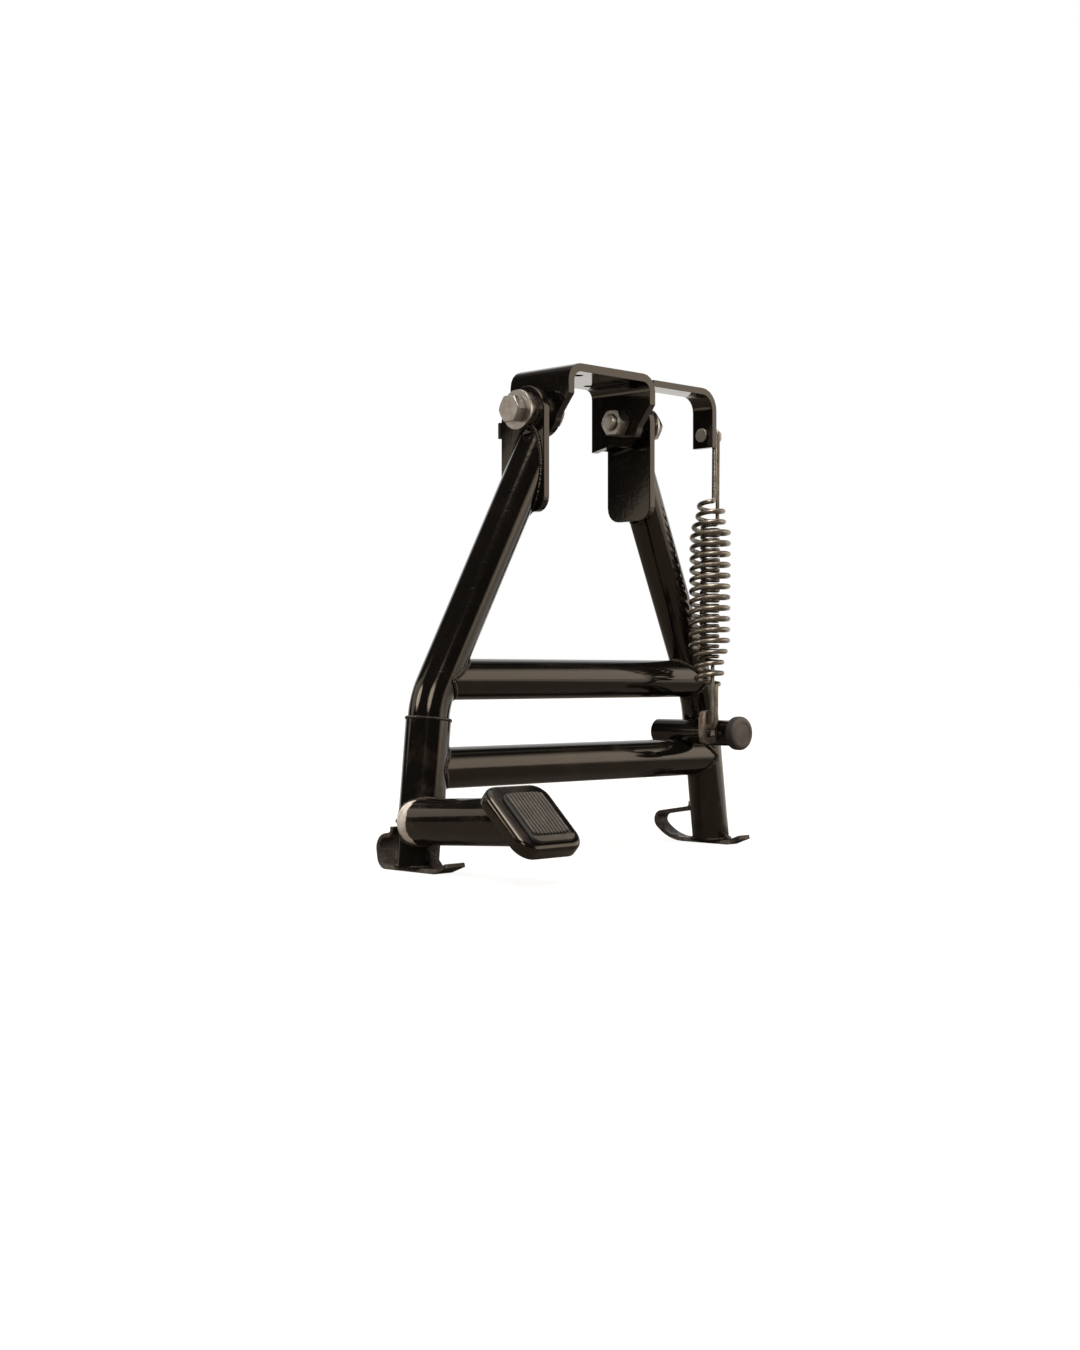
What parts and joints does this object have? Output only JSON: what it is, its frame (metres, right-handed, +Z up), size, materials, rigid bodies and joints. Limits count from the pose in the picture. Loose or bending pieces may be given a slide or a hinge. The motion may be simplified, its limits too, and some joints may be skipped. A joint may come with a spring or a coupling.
{
  "type": "motorcycle centre stand",
  "caption": "Tubular centre stand with foot pedal, runner feet and nested return springs, swinging on bolts under a mounting bracket.",
  "frame": {"origin": "middle of the stand's swing axis, between the two pivot bolts", "axes": "+Z up, +Y towards the front of the motorcycle, +X to its right, along the swing axis"},
  "size_m": [0.3612, 0.1951, 0.36],
  "materials": {
    "gloss_black": "gloss",
    "worn_steel": "worn",
    "zinc_steel": "satin",
    "spring_steel": "satin",
    "black_rubber": "matte"
  },
  "bodies": {
    "bracket": {"mounting_bracket": "gloss_black", "left_stop_block": "gloss_black", "right_stop_block": "gloss_black", "spring_hanger": "gloss_black", "hanger_pin": "zinc_steel", "left_pivot_bolt": "zinc_steel", "right_pivot_bolt": "zinc_steel", "left_pivot_nut": "zinc_steel", "right_pivot_nut": "zinc_steel", "left_washer": "zinc_steel", "right_washer": "zinc_steel"},
    "stand": {"left_pivot_plate": "gloss_black", "right_pivot_plate": "gloss_black", "left_pivot_bush": "zinc_steel", "right_pivot_bush": "zinc_steel", "left_leg_tube": "gloss_black", "right_leg_tube": "gloss_black", "left_lower_sleeve": "gloss_black", "upper_cross_tube": "gloss_black", "lower_cross_tube": "gloss_black", "left_foot_post": "gloss_black", "left_foot": "worn_steel", "right_foot": "worn_steel", "left_foot_gusset": "worn_steel", "right_foot_gusset": "worn_steel", "tang_tube": "gloss_black", "pedal_plate": "gloss_black", "pedal_rubber": "black_rubber", "bumper_tube": "gloss_black", "rubber_buffer": "black_rubber", "spring_anchor_plate": "zinc_steel"},
    "springs": {"outer_spring": "spring_steel", "inner_spring": "spring_steel"}
  },
  "joints": [
    {"name": "stand_swing", "type": "hinge", "parent": "bracket", "child": "stand", "pos_m": [0, 0, 0], "axis": [-1, 0, 0], "range_deg": [0, 95]},
    {"name": "spring_swing", "type": "hinge", "parent": "bracket", "child": "springs", "pos_m": [0.126, -0.018, -0.004], "axis": [-1, 0, 0], "range_deg": [0, 102], "deforming": ["outer_spring", "inner_spring"]}
  ],
  "couplings": [
    {"joint": "spring_swing", "follows": "stand_swing", "ratio": 1.0694}
  ]
}
